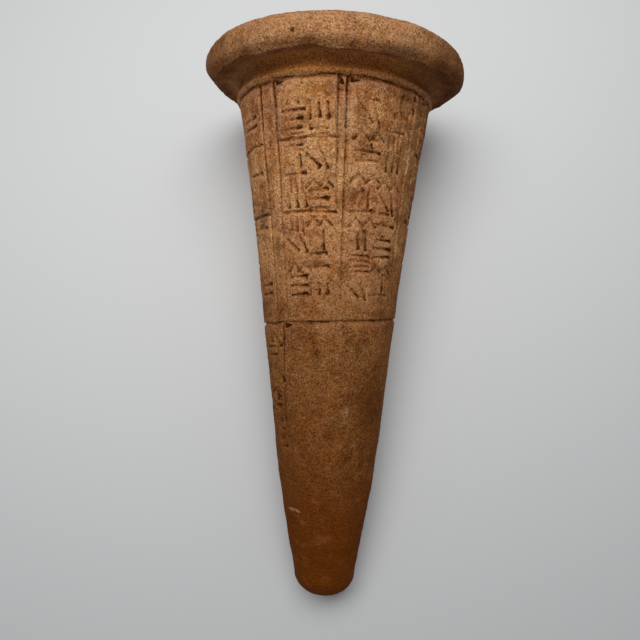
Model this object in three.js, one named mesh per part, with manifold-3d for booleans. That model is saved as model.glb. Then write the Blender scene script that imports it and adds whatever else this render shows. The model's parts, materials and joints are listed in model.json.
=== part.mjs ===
// Clay foundation cone: a solid, hand-formed peg of fired clay with a mushroom head.
// The upper part of the shaft is ruled into strips and filled with rows of short
// wedge-shaped stylus strokes; a second, shorter band of strokes lies below the ring line.
// The cone lies on its side, carried by the rim of the head and the rounded tip.
//
// It is modelled upright first, in millimetres: the tip at height 0, the axis along +Z.
// Angles run round the shaft in degrees from the side that faces up when the cone lies
// down (-Y here), and grow towards +X. The last section lays the cone down along +Y.

import * as THREE from 'three';
import { mergeVertices } from 'three/addons/utils/BufferGeometryUtils.js';
import Module from 'manifold-3d';

const wasm = await Module();
wasm.setup();

// Shaft
const SHAFT_LENGTH = 108; // tip end to the line under the collar
const SHAFT_TOP_RADIUS = 21.1;
const TIP_RADIUS = 7.0; // the rounded lower end
const TIP_LENGTH = 6.4;
const TIP_BLUNTNESS = 0.87; // 1 is a true ellipse, less is blunter
const TIP_ARC = [-90, -18]; // degrees of the tip's rounding, up to where the shaft starts
// Stations of the shaft's profile, as shares of its length and of its top radius.
const SHAFT_FORM = [
  [0.13, 0.4], [0.26, 0.512], [0.39, 0.59],
  [0.56, 0.693], [0.7, 0.778], [0.84, 0.877],
];

// Collar and head
const COLLAR_HEIGHT = 3.5; // the raised band between the shaft and the head's underside
const COLLAR_RADIUS = 21.8;
const COLLAR_BAND = 0.6; // share of its height up to which the collar is at its widest
const NECK_RADIUS = 21.3; // the root of the hollow above the collar
const HEAD_RADIUS = 28.5;
const RIM_WIDTH = 4.3; // how far in from the edge the rim's rounding starts
const RIM_HALF_THICKNESS = 3.1;
const UNDERCUT_RISE = 1.2; // how far the head's underside rises from neck to rim
const RIM_ARC = [-78, 80]; // degrees of the rounded edge, from the underside to the crown
const CROWN_RISE = 4.0; // the low dome on the head's end face
const CROWN_SHARES = [0.7, 0.35]; // shares of the crown's radius that its profile passes

// Incised lines
const RING_HEIGHT = 60.6; // the ring line that closes the first band of strokes
const LINE_WIDTH = 1.5;
const LINE_DEPTH = 0.75;
const LINE_OVERLAP = 0.2; // how far lines run on past their ends, to meet others
const PIT_LENGTH = 3.4; // the deep start of each ruling, where the stylus went in
const PIT_DEPTH = 1.6;

// Strips of strokes
const STRIP_COUNT = 7;
const FIRST_RULING = -40; // degrees
const RULING_SWING = 6; // degrees that the hand-drawn rulings stray from even spacing
const SWING_STEP = 1.4; // radians of that swing from one ruling to the next
const WIDE_GAP = 11; // degrees between the two lines of a double ruling
const NARROW_GAP = 5;
const STRIP_MARGIN = 4; // degrees between a ruling and the strokes
const BAND_MARGIN = 2.6; // mm between a band's ends and the strokes
const FILES_PER_STRIP = 2;
const ROW_PITCH = 7.2;
const CASE_SHARES = [0.24, 0.54]; // cross lines of the even strips, down from the collar
const LOWER_BAND_LENGTH = 27;
const LOWER_STRIPS = 3; // strips of the second band, counted back from the first ruling
const LOWER_DRIFT = -8; // degrees that the second band's rulings wander on their way down

// One wedge-shaped stroke
const STROKE_WIDTH = 1.5;
const STROKE_DEPTH = 0.95;
const STROKE_SPACING = 1.75;
const STROKE_LIFT = 0.9; // how far the cutting wedge stands out of the clay
const STROKE_FILL = 0.82; // share of a file's width that the longest stroke takes
const TURN_SPREAD = 8; // degrees that the bars stray from level
const ROW_SPREAD = 0.2; // share of the row pitch that the rows stray by

// The groups that the strokes come in: bars one above the other, a slanting pair, upright
// marks side by side, and an upright mark with a bar under it. Each gives one stroke's place
// across and along the strip, counted in stroke spacings, its turn in degrees and its share
// of the full length. gap is the stroke's place from the middle of the group, and order its
// number in it.
const GROUPS = [
  { most: 3, mark: (gap) => [0, gap, 0, 1] },
  { most: 2, mark: (gap, order) => [1.3 * gap, 0, -50 - 20 * order, 0.85] },
  { most: 3, mark: (gap) => [gap, 0.2, -90, 0.7] },
  { most: 2, mark: (gap, order) => (order === 0 ? [-gap, 0.3, -90, 1] : [0, -1.2, 0, 1]) },
];

// Places where the clay has broken away: a flake beside a ruling, and a chip near the tip.
const FLAKE_ANGLE = 48;
const FLAKE_DROP = 3.5; // middle of the flake, below the collar
const FLAKE_LENGTH = 5.6;
const FLAKE_WIDTH = 4.4;
const CHIP_ANGLE = -46;
const CHIP_HEIGHT = 19.5; // middle of the chip, above the tip's end
const CHIP_LENGTH = 4.4;
const CHIP_WIDTH = 2.6;
const BREAK_DEPTH = 0.65;

// Hand-made shape
const OUT_OF_ROUND = 0.28; // mm
const OVAL_START = 0.6; // radians, the way that the oval section lies at the tip
const OVAL_TWIST_LENGTH = 45; // mm of height over which the oval turns by half a radian
const TRIAD_TWIST_LENGTH = 27; // the same for the three-sided swelling, by a third
const AXIS_BEND = -0.15; // mm at mid length
const LIP_LEAN_SIDE = 1.5; // degrees, the +X side of the head's underside nearer the tip
const CROWN_LEAN_SIDE = 0.1; // the same for its end face
const HEAD_LEAN_FRONT = 1.6; // degrees, the upper side of the head nearer the tip
const RING_SLANT = 2.9; // degrees
const RING_REACH = 9; // mm above and below the ring line that share its slant
const LIP_WAVE = 0.28; // mm, the uneven lower edge of the rim
const LUMP_ANGLE = 24; // degrees, a lump of clay stuck under the lip
const LUMP_HEIGHT = 1.1;
const LUMP_SIZE = 3.2;
const LUMP_BULGE = 0.6; // share of its height by which the lump also stands out

// Rest
const FLAT_DEPTH = 0.32; // how deep the worn flat spots under the rim and the tip go

// Facets
const ROUND_SEGMENTS = 48;
const UPPER_RINGS = 5;
const LOWER_RINGS = 7;
const TIP_RINGS = 4;
const RIM_RINGS = 7;

const neckHeight = SHAFT_LENGTH + COLLAR_HEIGHT;
const rimHeight = neckHeight + UNDERCUT_RISE + RIM_HALF_THICKNESS;
const crownHeight = rimHeight + RIM_HALF_THICKNESS + CROWN_RISE;
const radians = THREE.MathUtils.degToRad;

const shaftCurve = new THREE.SplineCurve([
  new THREE.Vector2(TIP_RADIUS, TIP_LENGTH),
  ...SHAFT_FORM.map(([height, radius]) =>
    new THREE.Vector2(radius * SHAFT_TOP_RADIUS, height * SHAFT_LENGTH)),
  new THREE.Vector2(SHAFT_TOP_RADIUS, SHAFT_LENGTH),
]);
const shaftSamples = shaftCurve.getPoints(200);

// Radius of the shaft at a height, read off the profile curve.
function shaftRadius(height) {
  const above = shaftSamples.findIndex((point) => point.y >= height);
  if (above < 1) {
    return above === 0 ? TIP_RADIUS : SHAFT_TOP_RADIUS;
  }
  const low = shaftSamples[above - 1];
  const high = shaftSamples[above];
  return THREE.MathUtils.mapLinear(height, low.y, high.y, low.x, high.x);
}

// Points of a rounded corner: part of an ellipse, or of a blunter curve.
function cornerPoints(centre, reach, [fromDegrees, toDegrees], steps, bluntness = 1) {
  const swell = (share) => Math.sign(share) * Math.abs(share) ** bluntness;
  return Array.from({ length: steps + 1 }, (_, i) => {
    const angle = radians(THREE.MathUtils.lerp(fromDegrees, toDegrees, i / steps));
    return new THREE.Vector2(swell(Math.cos(angle)), swell(Math.sin(angle)))
      .multiply(reach)
      .add(centre);
  });
}

// Evenly spaced points of the shaft's profile between two heights, both ends included.
function shaftPoints(from, to, steps) {
  return Array.from({ length: steps + 1 }, (_, i) => {
    const height = THREE.MathUtils.lerp(from, to, i / steps);
    return new THREE.Vector2(shaftRadius(height), height);
  });
}

// Half section of the whole cone, from the tip end up to the middle of the crown. The two
// lines that go all the way round are grooves in it.
function profile() {
  const half = LINE_WIDTH / 2;
  const tipReach = new THREE.Vector2(TIP_RADIUS, TIP_LENGTH);
  const tipCentre = new THREE.Vector2(0, TIP_LENGTH);
  const tip = cornerPoints(tipCentre, tipReach, TIP_ARC, TIP_RINGS, TIP_BLUNTNESS);
  tip[0].x = 0;
  const lower = shaftPoints(TIP_LENGTH, RING_HEIGHT - half, LOWER_RINGS);
  const ring = new THREE.Vector2(shaftRadius(RING_HEIGHT) - LINE_DEPTH, RING_HEIGHT);
  const upper = shaftPoints(RING_HEIGHT + half, SHAFT_LENGTH - half, UPPER_RINGS);
  const collar = [
    new THREE.Vector2(SHAFT_TOP_RADIUS - LINE_DEPTH, SHAFT_LENGTH),
    new THREE.Vector2(COLLAR_RADIUS, SHAFT_LENGTH + half),
    new THREE.Vector2(COLLAR_RADIUS, SHAFT_LENGTH + COLLAR_BAND * COLLAR_HEIGHT),
    new THREE.Vector2(NECK_RADIUS, neckHeight),
  ];
  const rimReach = new THREE.Vector2(RIM_WIDTH, RIM_HALF_THICKNESS);
  const rimCentre = new THREE.Vector2(HEAD_RADIUS - RIM_WIDTH, rimHeight);
  const rim = cornerPoints(rimCentre, rimReach, RIM_ARC, RIM_RINGS);
  const edge = rim[rim.length - 1];
  const crown = CROWN_SHARES.map((share) => new THREE.Vector2(
    edge.x * share,
    THREE.MathUtils.lerp(crownHeight, edge.y, share * share),
  ));
  const top = new THREE.Vector2(0, crownHeight);
  return [...tip, ...lower, ring, ...upper, ...collar, ...rim, ...crown, top];
}

// A closed three.js geometry as a solid that can be cut and joined.
function solidOf(geometry) {
  const bare = geometry.clone();
  bare.deleteAttribute('normal');
  bare.deleteAttribute('uv');
  const merged = mergeVertices(bare, 1e-4);
  return new wasm.Manifold(new wasm.Mesh({
    numProp: 3,
    vertProperties: new Float32Array(merged.attributes.position.array),
    triVerts: new Uint32Array(merged.index.array),
  }));
}

// A solid as a three.js geometry again.
function geometryOf(solid) {
  const mesh = solid.getMesh();
  const geometry = new THREE.BufferGeometry();
  geometry.setAttribute('position', new THREE.BufferAttribute(mesh.vertProperties, 3));
  geometry.setIndex(new THREE.BufferAttribute(mesh.triVerts, 1));
  geometry.computeVertexNormals();
  return geometry;
}

const join = (solids) => solids.reduce((all, next) => all.add(next));

const millimetresPerDegree = (height) => radians(1) * shaftRadius(height);

// A point on the shaft, with the directions out of the clay, round the shaft and towards
// the head there, as a matrix whose columns are round, head and out.
function surfaceFrame(degrees, height) {
  const angle = radians(degrees);
  const out = new THREE.Vector3(Math.sin(angle), -Math.cos(angle), 0);
  const head = new THREE.Vector3(0, 0, 1);
  const round = new THREE.Vector3().crossVectors(head, out);
  const place = out.clone().multiplyScalar(shaftRadius(height)).setZ(height);
  return new THREE.Matrix4().makeBasis(round, head, out).setPosition(place);
}

// One stroke: the corner of a stylus, a three-sided point that leaves a wide head and a
// narrowing tail. turn is the way that the tail runs, in degrees from round the shaft.
function stroke(degrees, height, turn, length, size = 1) {
  const depth = STROKE_DEPTH * size;
  const grow = (depth + STROKE_LIFT) / depth;
  const point = new THREE.ConeGeometry(1, 1, 3);
  point.translate(0, -0.5, 0); // the point sits at the origin
  point.rotateX(-Math.PI / 2); // and looks into the clay
  point.rotateZ(Math.PI / 2);
  point.scale(
    (grow * length) / 1.5,
    (grow * STROKE_WIDTH * size) / Math.sqrt(3),
    depth + STROKE_LIFT,
  );
  point.translate(0, 0, -depth);
  point.rotateZ(radians(turn));
  point.applyMatrix4(surfaceFrame(degrees, height));
  return solidOf(point);
}

// A straight incised line between two places on the shaft, with a diamond section.
function incisedLine([fromDegrees, fromHeight], [toDegrees, toHeight]) {
  const start = surfaceFrame(fromDegrees, fromHeight);
  const from = new THREE.Vector3().setFromMatrixPosition(start);
  const to = new THREE.Vector3().setFromMatrixPosition(surfaceFrame(toDegrees, toHeight));
  const bar = new THREE.CylinderGeometry(1, 1, from.distanceTo(to) + LINE_OVERLAP, 4);
  bar.scale(LINE_WIDTH / 2, 1, LINE_DEPTH);
  const along = to.clone().sub(from).normalize();
  const out = new THREE.Vector3(0, 0, 1).transformDirection(start);
  const side = new THREE.Vector3().crossVectors(along, out).normalize();
  const basis = new THREE.Matrix4().makeBasis(side, along, side.clone().cross(along));
  basis.setPosition(from.add(to).multiplyScalar(0.5));
  bar.applyMatrix4(basis);
  return solidOf(bar);
}

// A shallow, many-sided hollow where clay has broken away.
function chip(degrees, height, width, length) {
  const hollow = new THREE.IcosahedronGeometry(1, 1);
  hollow.scale(width / 2, length / 2, 2 * BREAK_DEPTH);
  hollow.translate(0, 0, BREAK_DEPTH);
  hollow.applyMatrix4(surfaceFrame(degrees, height));
  return solidOf(hollow);
}

// A repeatable value from 0 to 1 for a number, for the hand's small variations.
function vary(number) {
  const wave = Math.sin(number * 12.9898) * 43758.5453;
  return wave - Math.floor(wave);
}

// Where a ruling stands round the cone, and how far apart its two lines are.
function rulingAngle(index) {
  const swing = RULING_SWING * Math.sin(SWING_STEP * (index % STRIP_COUNT));
  return FIRST_RULING + index * (360 / STRIP_COUNT) - swing;
}

const rulingGap = (index) => ((index % STRIP_COUNT) % 2 === 0 ? WIDE_GAP : NARROW_GAP);

// A ruling from one height down to another, as one line or two, each with its stylus pit.
function ruling(index, top, bottom, { lines = [-0.5, 0.5], drift = 0 } = {}) {
  return lines.flatMap((side) => {
    const degrees = rulingAngle(index) + side * rulingGap(index);
    return [
      incisedLine([degrees, top], [degrees + drift, bottom]),
      stroke(degrees, top - PIT_LENGTH / 3, -90, PIT_LENGTH, PIT_DEPTH / STROKE_DEPTH),
    ];
  });
}

// A small group of like strokes round one place. seed sets the hand's variations in it.
function strokeGroup(group, degrees, height, width, seed) {
  const spacingDegrees = STROKE_SPACING / millimetresPerDegree(height);
  const count = Math.min(group.most, 2 + Math.floor(2 * vary(seed)));
  const size = 0.85 + 0.3 * vary(seed + 0.5);
  return Array.from({ length: count }, (_, order) => {
    const gap = order - (count - 1) / 2;
    const [across, along, turn, share] = group.mark(gap, order);
    const length = share * width * (0.72 + 0.25 * vary(seed + order));
    const stray = TURN_SPREAD * (vary(seed + order + 7) - 0.5);
    const place = [degrees + across * spacingDegrees, height + along * STROKE_SPACING];
    return stroke(...place, turn + stray, length, size);
  });
}

// The strokes of one strip between two heights, in files and rows.
function stripOfStrokes(index, top, bottom) {
  const start = rulingAngle(index) + rulingGap(index) / 2 + STRIP_MARGIN;
  const end = rulingAngle(index + 1) - rulingGap(index + 1) / 2 - STRIP_MARGIN;
  const rows = Math.max(1, Math.floor((top - bottom - 2 * BAND_MARGIN) / ROW_PITCH));
  const pitch = (top - bottom - 2 * BAND_MARGIN) / rows;
  const cuts = [];
  for (let file = 0; file < FILES_PER_STRIP; file += 1) {
    const degrees = THREE.MathUtils.lerp(start, end, (file + 0.5) / FILES_PER_STRIP);
    for (let row = 0; row < rows; row += 1) {
      const seed = 100 * index + 10 * row + file;
      const stray = ROW_SPREAD * (vary(seed + 3) - 0.5);
      const height = top - BAND_MARGIN - (row + 0.5 + stray) * pitch;
      const room = ((end - start) / FILES_PER_STRIP) * millimetresPerDegree(height);
      const group = GROUPS[(3 * row + 2 * file + index) % GROUPS.length];
      cuts.push(...strokeGroup(group, degrees, height, STROKE_FILL * room, seed));
    }
  }
  return cuts;
}

// Cross lines that part the even strips into cases.
function caseLines(index, top, bottom) {
  if (index % 2 === 1) {
    return [];
  }
  const left = rulingAngle(index) + rulingGap(index) / 2;
  const right = rulingAngle(index + 1) - rulingGap(index + 1) / 2;
  const middle = (left + right) / 2;
  return CASE_SHARES.flatMap((share) => {
    const height = THREE.MathUtils.lerp(top, bottom, share);
    return [
      incisedLine([left, height], [middle, height]),
      incisedLine([middle, height], [right, height]),
    ];
  });
}

// All that is cut into the clay.
function inscription() {
  const cuts = [
    chip(FLAKE_ANGLE, SHAFT_LENGTH - FLAKE_DROP, FLAKE_WIDTH, FLAKE_LENGTH),
    chip(CHIP_ANGLE, CHIP_HEIGHT, CHIP_WIDTH, CHIP_LENGTH),
  ];
  const top = SHAFT_LENGTH;
  const bottom = RING_HEIGHT;
  const low = RING_HEIGHT - LOWER_BAND_LENGTH;
  for (let index = 0; index < STRIP_COUNT; index += 1) {
    cuts.push(...ruling(index, top, bottom));
    cuts.push(...caseLines(index, top, bottom));
    cuts.push(...stripOfStrokes(index, top, bottom));
  }
  for (let back = 0; back < LOWER_STRIPS; back += 1) {
    const index = STRIP_COUNT - 1 - back;
    cuts.push(...ruling(index + 1, bottom, low, { lines: [0], drift: LOWER_DRIFT }));
    cuts.push(...stripOfStrokes(index, bottom, low));
  }
  return join(cuts);
}

// Moves a point of the true, round form to where the potter's hand left it.
function handFormed(point) {
  const angle = Math.atan2(point.x, -point.y);
  const radius = Math.hypot(point.x, point.y);
  const height = point.z;

  // The section is a little oval and three-sided, and turns slowly up the cone.
  const oval = Math.sin(2 * angle + OVAL_START + height / OVAL_TWIST_LENGTH);
  const triad = Math.sin(3 * angle - height / TRIAD_TWIST_LENGTH);
  const swelling = OUT_OF_ROUND * (oval + 0.5 * triad) * (radius / SHAFT_TOP_RADIUS);

  // The lower edge of the rim waves round the head and carries one lump of clay.
  const lipHeight = rimHeight - 0.6 * RIM_HALF_THICKNESS;
  const nearLip = Math.exp(-(((height - lipHeight) / RIM_HALF_THICKNESS) ** 2))
    * THREE.MathUtils.smoothstep(radius, NECK_RADIUS, HEAD_RADIUS);
  const ripple = LIP_WAVE * (Math.sin(5 * angle + 1.0) + 0.6 * Math.sin(9 * angle + 0.4));
  const fromLump = angle - radians(LUMP_ANGLE);
  const lumpSide = radius * Math.atan2(Math.sin(fromLump), Math.cos(fromLump));
  const lump = LUMP_HEIGHT * Math.exp(-((lumpSide / LUMP_SIZE) ** 2));
  const lip = (ripple + lump) * nearLip;

  // The head leans, its underside more than its end face, and the ring line runs slantwise.
  const rimTop = rimHeight + RIM_HALF_THICKNESS;
  const inHead = THREE.MathUtils.smoothstep(height, SHAFT_LENGTH, rimHeight);
  const inCrown = THREE.MathUtils.smoothstep(height, rimHeight, rimTop);
  const sideLean = THREE.MathUtils.lerp(LIP_LEAN_SIDE, CROWN_LEAN_SIDE, inCrown);
  const lean = inHead * (Math.tan(radians(HEAD_LEAN_FRONT)) * point.y
    - Math.tan(radians(sideLean)) * point.x);
  const nearRing = Math.exp(-(((height - RING_HEIGHT) / RING_REACH) ** 2));
  const slant = nearRing * Math.tan(radians(RING_SLANT)) * point.x;

  const stretch = radius > 0 ? (radius + swelling + LUMP_BULGE * lump * nearLip) / radius : 1;
  const bend = AXIS_BEND * Math.sin((Math.PI * height) / crownHeight);
  return new THREE.Vector3(
    point.x * stretch + bend,
    point.y * stretch,
    height + lean + slant - lip,
  );
}

// The solid with each of its points moved.
function reshape(solid, move) {
  const geometry = geometryOf(solid);
  const position = geometry.attributes.position;
  const point = new THREE.Vector3();
  for (let i = 0; i < position.count; i += 1) {
    const moved = move(point.fromBufferAttribute(position, i));
    position.setXYZ(i, moved.x, moved.y, moved.z);
  }
  return solidOf(geometry);
}

// The turn about X that lays the axis along +Y with the rim and the tip equally low.
function restingTurn(geometry) {
  const position = geometry.attributes.position;
  const half = crownHeight / 2;
  let tilt = 0;
  for (let pass = 0; pass < 12; pass += 1) {
    const lowest = [{ drop: -Infinity, along: 0 }, { drop: -Infinity, along: 0 }];
    for (let i = 0; i < position.count; i += 1) {
      const y = position.getY(i);
      const z = position.getZ(i);
      const end = lowest[z < half ? 0 : 1];
      const drop = y * Math.cos(tilt) - z * Math.sin(tilt);
      if (drop > end.drop) {
        Object.assign(end, { drop, along: y * Math.sin(tilt) + z * Math.cos(tilt) });
      }
    }
    tilt += Math.atan2(lowest[1].drop - lowest[0].drop, lowest[1].along - lowest[0].along);
  }
  return tilt - Math.PI / 2;
}

const turned = solidOf(new THREE.LatheGeometry(profile(), ROUND_SEGMENTS).rotateX(Math.PI / 2));
const formed = reshape(turned.subtract(inscription()), handFormed);

// Laid down, with the flat spots worn under the rim and the tip.
const laid = geometryOf(formed);
laid.rotateX(restingTurn(laid));
laid.computeBoundingBox();
const reach = 2 * crownHeight;
const floor = new THREE.BoxGeometry(reach, 2 * reach, reach);
floor.translate(0, 0, laid.boundingBox.min.z + FLAT_DEPTH - reach / 2);
const finished = geometryOf(solidOf(laid).subtract(solidOf(floor)));

const clay = new THREE.MeshStandardMaterial({ color: 0xa9714a, roughness: 0.93, metalness: 0 });
const cone = new THREE.Mesh(finished, clay);
cone.name = 'cone';

// The origin is under the middle of the cone, on the surface that it lies on.
const box = new THREE.Box3().setFromObject(cone, true);
const middle = box.getCenter(new THREE.Vector3());
cone.position.set(-middle.x, -middle.y, -box.min.z);

const foundationCone = new THREE.Group();
foundationCone.add(cone);

export default foundationCone;
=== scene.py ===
# A clay foundation cone, lying on its side on a pale floor.

import math
import random

import bpy
import numpy as np
from mathutils import Matrix, Vector
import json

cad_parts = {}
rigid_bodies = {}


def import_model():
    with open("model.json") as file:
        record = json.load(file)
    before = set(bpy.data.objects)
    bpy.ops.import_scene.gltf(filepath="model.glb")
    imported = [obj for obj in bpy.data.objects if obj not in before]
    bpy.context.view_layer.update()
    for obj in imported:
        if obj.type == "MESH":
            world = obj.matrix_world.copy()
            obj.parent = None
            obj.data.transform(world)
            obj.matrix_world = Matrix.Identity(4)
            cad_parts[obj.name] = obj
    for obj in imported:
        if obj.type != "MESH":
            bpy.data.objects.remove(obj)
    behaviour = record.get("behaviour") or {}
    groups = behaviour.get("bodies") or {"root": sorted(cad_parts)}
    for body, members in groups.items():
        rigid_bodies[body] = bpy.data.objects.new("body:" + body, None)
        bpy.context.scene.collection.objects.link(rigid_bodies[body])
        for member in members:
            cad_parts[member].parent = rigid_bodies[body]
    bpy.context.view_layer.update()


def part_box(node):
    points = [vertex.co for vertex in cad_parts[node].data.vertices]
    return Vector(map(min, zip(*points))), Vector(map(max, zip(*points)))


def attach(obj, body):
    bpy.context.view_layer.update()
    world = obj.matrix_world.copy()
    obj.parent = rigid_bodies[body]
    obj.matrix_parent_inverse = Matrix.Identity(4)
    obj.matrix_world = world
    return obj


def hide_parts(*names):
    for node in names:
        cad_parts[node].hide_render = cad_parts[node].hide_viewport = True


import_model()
bpy.ops.object.select_all(action="DESELECT")


# The body of the cone
# A solid peg of sandy clay, rolled and pressed by hand, with a collar and a mushroom head
# in one with it. It is drawn upright first, in millimetres, with the tip at height 0, and
# angles run round it in degrees from the side that faces up when the cone lies down.

SHAFT_LENGTH = 108.0  # tip end to the line under the collar
SHAFT_TOP_RADIUS = 21.1
SHAFT_TOP_GAP = 0.4  # from its last even point to the line under the collar
TIP_RADIUS = 7.0
TIP_LENGTH = 6.4
TIP_BLUNTNESS = 0.87  # 1 is a true ellipse, less is blunter
TIP_ARC = (-90, -18)
SHAFT_FORM = (  # stations of the profile, as shares of the shaft's length and top radius
    (0.13, 0.4),
    (0.26, 0.512),
    (0.39, 0.59),
    (0.56, 0.693),
    (0.7, 0.778),
    (0.84, 0.877),
)
COLLAR_HEIGHT = 3.5
COLLAR_RADIUS = 21.8
COLLAR_FORM = (  # stations of its edge, out from its radius and up from the shaft's top
    (-1.1, 0.05),
    (-0.75, 0.3),
    (-0.35, 0.55),
    (-0.08, 0.85),
    (0.0, 1.15),
    (-0.12, 1.5),
    (-0.34, 1.8),
)
NECK_RADIUS = 21.3
NECK_FORM = (  # stations of the hollow under the head up to the lip, as radius and height
    (21.3, 110.1),
    (21.15, 110.8),
    (21.2, 111.5),
    (21.6, 112.2),
    (22.8, 112.8),
    (24.8, 113.0),
    (26.9, 112.8),
)
WHEEL_LINE = 0.05  # how far the faint turned lines in the neck stand up
HEAD_RADIUS = 28.5
RIM_WIDTH = 4.3
RIM_HALF_THICKNESS = 3.1
RIM_ARC = (-48, 80)
RIM_BLUNTNESS = 0.8
UNDERCUT_RISE = 1.2
CROWN_RISE = 4.0
RING_HEIGHT = 60.6  # the ring line that closes the first band of strokes
PROFILE_STEP = 0.9
SHAFT_SAMPLES = 201
TIP_STEPS = 14
NECK_SAMPLES = 26
RIM_STEPS = 18
CROWN_STEPS = 13
CROWN_REACH = (0.93, 0.07)  # its first and last points, as shares of the way out to its edge
TURNING_STEPS = 192
MERGE_DISTANCE = 0.0005
NECK_HEIGHT = SHAFT_LENGTH + COLLAR_HEIGHT
RIM_HEIGHT = NECK_HEIGHT + UNDERCUT_RISE + RIM_HALF_THICKNESS
CROWN_HEIGHT = RIM_HEIGHT + RIM_HALF_THICKNESS + CROWN_RISE


def smooth_curve(points, samples):
    """Evenly spread points of the smooth curve that passes through the given ones."""
    points = np.array(points)
    last = len(points) - 1
    made = []
    for share in np.linspace(0, last, samples):
        start = min(int(share), last - 1)
        t = share - start
        before, a, b, after = points[[max(start - 1, 0), start, start + 1, min(start + 2, last)]]
        leave, arrive = (b - before) / 2, (after - a) / 2
        made.append(
            (2 * a - 2 * b + leave + arrive) * t**3
            + (3 * b - 3 * a - 2 * leave - arrive) * t**2
            + leave * t
            + a
        )
    return np.array(made)


shaft_curve = smooth_curve(
    [(TIP_RADIUS, TIP_LENGTH)]
    + [(radius * SHAFT_TOP_RADIUS, height * SHAFT_LENGTH) for height, radius in SHAFT_FORM]
    + [(SHAFT_TOP_RADIUS, SHAFT_LENGTH)],
    SHAFT_SAMPLES,
)


def shaft_radius(height):
    return float(np.interp(height, shaft_curve[:, 1], shaft_curve[:, 0]))


def shaft_points(bottom, top):
    heights = np.linspace(bottom, top, int((top - bottom) / PROFILE_STEP) + 2)
    return [(shaft_radius(height), float(height)) for height in heights]


def rounded(centre, reach, arc, steps, bluntness):
    """Points of a rounded corner, part of an ellipse or of a blunter curve."""
    points = []
    for angle in np.radians(np.linspace(*arc, steps + 1)):
        across = math.copysign(abs(math.cos(angle)) ** bluntness, math.cos(angle))
        along = math.copysign(abs(math.sin(angle)) ** bluntness, math.sin(angle))
        points.append((centre[0] + reach[0] * across, centre[1] + reach[1] * along))
    return points


def half_section():
    """The outline from the tip's end up to the middle of the crown."""
    tip = rounded((0, TIP_LENGTH), (TIP_RADIUS, TIP_LENGTH), TIP_ARC, TIP_STEPS, TIP_BLUNTNESS)
    tip[0] = (0.0, 0.0)
    shaft = shaft_points(TIP_LENGTH, SHAFT_LENGTH - SHAFT_TOP_GAP)
    collar = [(COLLAR_RADIUS + out, SHAFT_LENGTH + up) for out, up in COLLAR_FORM]
    neck = [
        (float(out), float(up) + WHEEL_LINE * (-1) ** step)
        for step, (out, up) in enumerate(smooth_curve(NECK_FORM, NECK_SAMPLES))
    ]
    rim_centre = (HEAD_RADIUS - RIM_WIDTH, RIM_HEIGHT)
    rim = rounded(rim_centre, (RIM_WIDTH, RIM_HALF_THICKNESS), RIM_ARC, RIM_STEPS, RIM_BLUNTNESS)
    edge = rim[-1]
    crown = [
        (edge[0] * share, CROWN_HEIGHT + (edge[1] - CROWN_HEIGHT) * share**2)
        for share in np.linspace(*CROWN_REACH, CROWN_STEPS)
    ]
    return [*tip, *shaft, *collar, *neck, *rim, *crown, (0.0, CROWN_HEIGHT)]


bpy.ops.mesh.primitive_plane_add(size=1, location=(0, 0, 0))
cone = bpy.context.object
cone.name = "clay_cone"
cone.data.name = "clay_cone"
bpy.ops.object.mode_set(mode="EDIT")
bpy.ops.mesh.merge(type="CENTER")
outline = half_section()
for here, there in zip(outline, outline[1:]):
    bpy.ops.mesh.extrude_vertices_move(
        TRANSFORM_OT_translate={"value": (there[0] - here[0], 0, there[1] - here[1])}
    )
bpy.ops.mesh.select_all(action="SELECT")
bpy.ops.mesh.spin(steps=TURNING_STEPS, angle=2 * math.pi, axis=(0, 0, 1), center=(0, 0, 0))
bpy.ops.mesh.select_all(action="SELECT")
bpy.ops.mesh.remove_doubles(threshold=MERGE_DISTANCE)
bpy.ops.mesh.normals_make_consistent(inside=False)
bpy.ops.object.mode_set(mode="OBJECT")


# The inscription
# Rows of short wedge-shaped strokes, pressed into the damp clay with the corner of a reed
# stylus, between rulings drawn down the shaft. They fill the upper band all round, and a
# shorter band at the left and the back. They are strokes in rows, and spell nothing.

STRIP_COUNT = 7
FIRST_RULING = -40
RULING_SWING = 6
SWING_STEP = 1.4
WIDE_GAP = 11
NARROW_GAP = 5
RULING_CUT = (1.15, 0.74)  # width and depth of its lines
RULING_FADE = 0.35  # how wide and deep they are at the foot, as a share
LINE_WANDER = 0.14
MIDDLE_RULING = 1
MIDDLE_RULING_CUT = (1.5, 0.66)
RULING_SHARES = {  # how far down the middle ruling's two lines go
    (MIDDLE_RULING, -0.5): 0.5,
    (MIDDLE_RULING, 0.5): 0.9,
}
DOWN_PIT = (2.4, 1.6, 1.4)  # length, width and depth of the pit over a left line
DOWN_PIT_SWAY = 14
SIDE_PIT = (3.4, 1.7, 1.7)  # of the pit over a right or single line, which lies across it
SIDE_PIT_SWAY = 7
STRIP_MARGIN = 4
BAND_MARGIN = 2.6
FILES_PER_STRIP = 2
ROW_PITCH = 7.2
CASE_SHARES = (0.24, 0.54)
LOWER_BAND_LENGTH = 27
LOWER_STRIPS = 3
LOWER_DRIFT = -8
STROKE_SPACING = 1.75
STROKE_FILL = 0.82
TURN_SPREAD = 8
ROW_SPREAD = 0.2
STROKE_LINE = (1.45, 0.85)  # width and depth of its line, as shares of the stroke's width
STROKE_TAIL = 0.55  # the size of its thin end, as a share
HEADED_SHARE = 0.85  # how many of the strokes have a wedge-shaped head
HEAD_GROWTH = 1.25
HEAD_SPREAD = (0.75, 1.2)
HEAD_DEPTH = 0.5  # as a share of its width
HEAD_PLACE = 0.6  # how far it is from the stroke's middle to its end
LONGEST_HEAD = 3.3
DEEP_STROKE_DEPTH = 0.45  # as a share of its width
STROKE_STEEPNESS = 0.4
LINE_STEEPNESS = 0.28
LINE_OVERLAP = 0.2  # of a length of line with the next, as a share of its width
LINE_SPREAD = (0.75, 1.25)
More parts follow.
